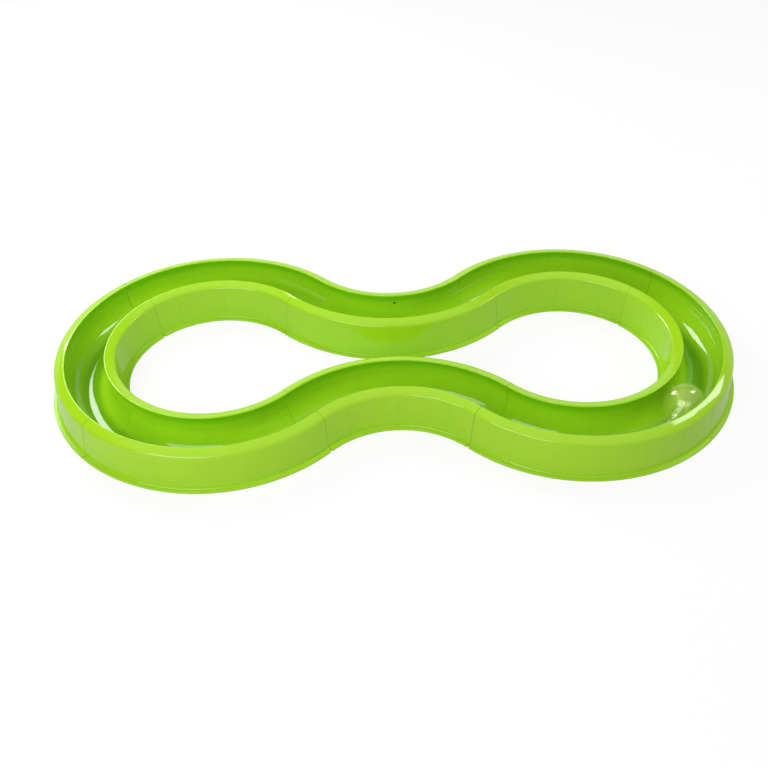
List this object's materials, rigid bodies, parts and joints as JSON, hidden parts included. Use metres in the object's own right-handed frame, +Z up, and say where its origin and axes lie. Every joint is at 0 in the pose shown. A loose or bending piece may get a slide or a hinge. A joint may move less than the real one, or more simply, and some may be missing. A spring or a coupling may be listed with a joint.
{
  "type": "cat ball track toy",
  "caption": "Closed loop of curved channel segments with two round lobes and a waist, holding a clear hollow ball for a cat to chase.",
  "frame": {"origin": "middle of the footprint, on the floor plane", "axes": "+X along the loop's long axis towards the lobe that holds the ball, +Y away from the picture's camera, +Z up"},
  "size_m": [0.6496, 0.3102, 0.0409],
  "materials": {
    "lime_plastic": "glossy lime green moulding",
    "clear_plastic": "clear glossy moulding"
  },
  "bodies": {
    "track": {"track_left_end": "lime_plastic", "track_left_back": "lime_plastic", "track_left_front": "lime_plastic", "track_waist_back": "lime_plastic", "track_waist_front": "lime_plastic", "track_right_back": "lime_plastic", "track_right_front": "lime_plastic", "track_right_end": "lime_plastic"},
    "ball": {"ball_shell_upper": "clear_plastic", "ball_shell_lower": "clear_plastic"}
  },
  "joints": [
    {"name": "ball_run", "type": "hinge", "parent": "track", "child": "ball", "pos_m": [0.16971, 0, 0], "axis": [0, 0, 1], "range_deg": [-90.8, 179.2]}
  ]
}
